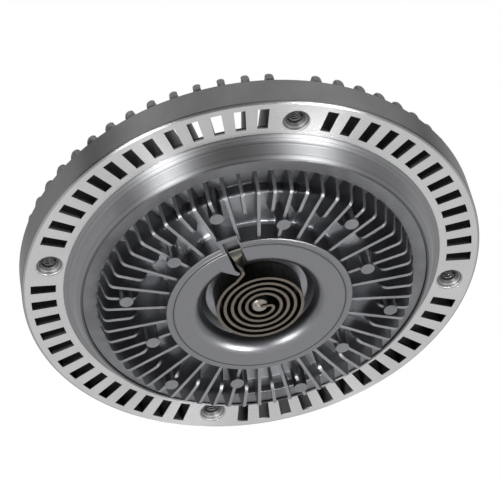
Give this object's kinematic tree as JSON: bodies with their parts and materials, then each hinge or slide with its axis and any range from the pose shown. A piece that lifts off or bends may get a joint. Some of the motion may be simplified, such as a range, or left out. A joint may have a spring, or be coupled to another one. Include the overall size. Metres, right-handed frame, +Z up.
{
  "type": "viscous fan clutch",
  "caption": "Round viscous fan clutch: finned cast cover with a bimetal spiral, slotted fan ring, and a driven shaft on a ball bearing behind.",
  "frame": {"origin": "centre of the fan's bolt circle, on the machined front face of the slotted ring", "axes": "Y along the shaft, -Y out of the finned front, +Z up with one tapped hole on top"},
  "size_m": [0.2, 0.0561, 0.2],
  "materials": {
    "ring_casting": "cast, ring face turned bright",
    "cover_casting": "die cast, matt",
    "bimetal": "rolled strip, olive brown",
    "pin_steel": "turned",
    "bronze": "sintered",
    "seal_rubber": "moulded",
    "sheet_steel": "pressed sheet",
    "spring_steel": "blackened",
    "wiper_plastic": "moulded",
    "rotor_aluminium": "turned",
    "shaft_steel": "turned and ground",
    "bearing_steel": "ground",
    "cage_steel": "pressed"
  },
  "bodies": {
    "shaft": {"input_shaft": "shaft_steel", "rotor_disc": "rotor_aluminium", "rotor_clip": "spring_steel", "bearing_inner_ring": "bearing_steel"},
    "housing": {"rear_body": "ring_casting", "front_cover": "cover_casting", "cover_seal": "seal_rubber", "bimetal_coil": "bimetal", "control_bush": "bronze", "control_seal": "seal_rubber", "divider_plate": "sheet_steel", "divider_rivets": "pin_steel", "wiper": "wiper_plastic", "bearing_outer_ring": "bearing_steel", "bearing_seal_front": "seal_rubber", "bearing_seal_rear": "seal_rubber", "bearing_circlip": "spring_steel"},
    "valve": {"control_shaft": "pin_steel", "valve_arm": "sheet_steel", "valve_clip": "spring_steel"},
    "cage": {"bearing_cage": "cage_steel", "bearing_balls": "bearing_steel"}
  },
  "joints": [
    {"name": "housing_spin", "type": "hinge", "parent": "shaft", "child": "housing", "pos_m": [0, 0.0175, 0], "axis": [0, 1, 0], "continuous": true},
    {"name": "cage_spin", "type": "hinge", "parent": "shaft", "child": "cage", "pos_m": [0, 0.0175, 0], "axis": [0, 1, 0], "continuous": true},
    {"name": "valve_turn", "type": "hinge", "parent": "housing", "child": "valve", "pos_m": [0, -0.008, 0], "axis": [0, 1, 0], "range_deg": [0, 30], "stiffness_Nm_per_rad": 0.05, "deforming": ["bimetal_coil"]}
  ],
  "couplings": [
    {"joint": "cage_spin", "follows": "housing_spin", "ratio": 0.6016}
  ]
}
